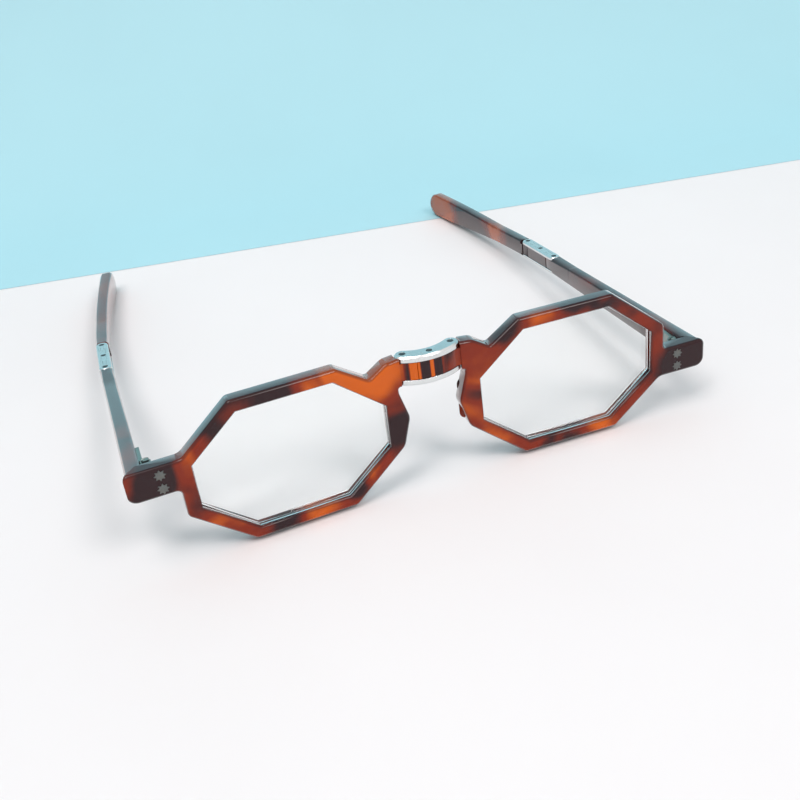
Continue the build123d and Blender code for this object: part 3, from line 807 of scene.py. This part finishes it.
def stage_piece(name, mesh, colour):
    """A matt paper piece of the stage, faintly clouded."""
    cloud_scale, cloud_band, cloud_share = 9.0, (0.3, 0.7), 0.975
    piece = bpy.data.objects.new(name, mesh)
    bpy.context.scene.collection.objects.link(piece)
    material, tree, shader = new_material(name + "_paper")
    grain = noise_node(tree, object_coordinates(tree), cloud_scale, detail=3.0)
    darker = (*(c * cloud_share for c in colour), 1.0)
    clouded = mix_colour(tree, band(tree, grain, *cloud_band), (*colour, 1.0), darker)
    tree.links.new(clouded, shader.inputs["Base Color"])
    shader.inputs["Roughness"].default_value = 0.9
    mesh.materials.append(material)


def floor_points():
    """A flat square about the glasses."""
    side = np.array([-PAPER_REACH, PAPER_REACH])
    x, y = np.meshgrid(side, side)
    return np.stack([x, y, np.zeros_like(x)], axis=-1)


def backdrop_points(rows=48):
    """The backdrop's paper: flat on the floor, then a quarter circle up into a straight wall."""
    away = np.array((-BACKDROP_ALONG.y, BACKDROP_ALONG.x, 0.0))
    turn = np.linspace(0, math.pi / 2, rows)
    far = BACKDROP_FLAT + BACKDROP_BEND
    back = np.concatenate([[0.0], BACKDROP_FLAT + BACKDROP_BEND * np.sin(turn), [far]])
    rise = np.concatenate([[0.0], BACKDROP_BEND * (1 - np.cos(turn)), [BACKDROP_HEIGHT]])
    side = np.array([-PAPER_REACH, PAPER_REACH])[None, :, None] * np.array(BACKDROP_ALONG)
    ground = np.array(BACKDROP_FOOT) + side + back[:, None, None] * away
    ground[..., 2] += (rise + BACKDROP_LIFT)[:, None]
    return ground


def area_light(name, place, width, power, colour):
    """A soft square lamp that points at the glasses."""
    data = bpy.data.lights.new(name, "AREA")
    data.shape = "SQUARE"
    data.size = width
    data.energy = power
    data.color = colour
    lamp = bpy.data.objects.new(name, data)
    bpy.context.scene.collection.objects.link(lamp)
    lamp.location = place
    aim = Vector(LAMP_TARGET) - Vector(place)
    lamp.rotation_euler = aim.to_track_quat("-Z", "Y").to_euler()


def soft_world():
    """A pale surrounding: what is seen, mirrored or seen through glass is paler than its light."""
    world = bpy.data.worlds.new("soft studio")
    world.use_nodes = True
    tree = world.node_tree
    light = tree.nodes["Background"]
    light.inputs["Color"].default_value = WORLD_LIGHT
    light.inputs["Strength"].default_value = WORLD_STRENGTH
    seen = tree.nodes.new("ShaderNodeBackground")
    seen.inputs["Color"].default_value = WORLD_BACKGROUND
    path = tree.nodes.new("ShaderNodeLightPath")
    shown = path.outputs["Is Camera Ray"]
    for ray in ("Is Glossy Ray", "Is Transmission Ray"):
        shown = math_node(tree, "MAXIMUM", shown, path.outputs[ray])
    mix = tree.nodes.new("ShaderNodeMixShader")
    tree.links.new(shown, mix.inputs["Fac"])
    tree.links.new(light.outputs["Background"], mix.inputs[1])
    tree.links.new(seen.outputs["Background"], mix.inputs[2])
    tree.links.new(mix.outputs["Shader"], tree.nodes["World Output"].inputs["Surface"])
    return world


class EYEGLASSES_OT_stage(bpy.types.Operator):
    """Sets the pale floor, the backdrop, the soft lamps and the camera"""
    bl_idname = "eyeglasses.stage"
    bl_label = "Stage"

    def execute(self, context):
        settings = context.scene.stage_settings
        scene = context.scene
        stage_piece("floor", grid_mesh("floor", floor_points(), False), settings.floor)
        backdrop = finished(grid_mesh("backdrop", backdrop_points(), False), sharp_degrees=30)
        stage_piece("backdrop", backdrop, settings.wall)
        scene.world = soft_world()
        for lamp in LAMPS:
            area_light(*lamp)
        camera = bpy.data.objects.new("camera", bpy.data.cameras.new("camera"))
        scene.collection.objects.link(camera)
        camera.location = settings.camera_place
        camera.rotation_euler = settings.camera_turn
        camera.data.sensor_width = 36.0
        camera.data.lens = settings.focal_length
        camera.data.clip_start = 0.01
        scene.camera = camera
        scene.view_settings.view_transform = "Standard"
        return {"FINISHED"}


class EYEGLASSES_PT_panel(bpy.types.Panel):
    """Lists the makers of the eyeglasses' pieces and their settings"""
    bl_idname = "EYEGLASSES_PT_panel"
    bl_label = "Folding Eyeglasses"
    bl_space_type = "VIEW_3D"
    bl_region_type = "UI"
    bl_category = "Eyeglasses"

    def draw(self, context):
        for operator in OPERATORS:
            self.layout.operator(operator.bl_idname)
        for name, group in SETTINGS:
            for field in group.__annotations__:
                self.layout.prop(getattr(context.scene, name), field)


SETTINGS = (
    ("acetate_settings", AcetateSettings), ("lens_settings", LensSettings),
    ("metal_settings", MetalSettings), ("fitting_settings", FittingSettings),
    ("stage_settings", StageSettings),
)
OPERATORS = (
    EYEGLASSES_OT_stage, EYEGLASSES_OT_acetate, EYEGLASSES_OT_lenses, EYEGLASSES_OT_metalwork,
    EYEGLASSES_OT_pin_crowns, EYEGLASSES_OT_screw_heads, EYEGLASSES_OT_star_heads,
)


def register():
    for name, group in SETTINGS:
        bpy.utils.register_class(group)
        setattr(bpy.types.Scene, name, bpy.props.PointerProperty(type=group))
    for operator in OPERATORS:
        bpy.utils.register_class(operator)
    bpy.utils.register_class(EYEGLASSES_PT_panel)


def unregister():
    bpy.utils.unregister_class(EYEGLASSES_PT_panel)
    for operator in reversed(OPERATORS):
        bpy.utils.unregister_class(operator)
    for name, group in reversed(SETTINGS):
        delattr(bpy.types.Scene, name)
        bpy.utils.unregister_class(group)


def main():
    register()
    bpy.ops.eyeglasses.stage()
    bpy.ops.eyeglasses.acetate()
    bpy.ops.eyeglasses.lenses()
    bpy.ops.eyeglasses.metalwork()
    bpy.ops.eyeglasses.pin_crowns()
    bpy.ops.eyeglasses.screw_heads()
    bpy.ops.eyeglasses.star_heads()
    bpy.context.view_layer.update()


if __name__ == "__main__":
    main()
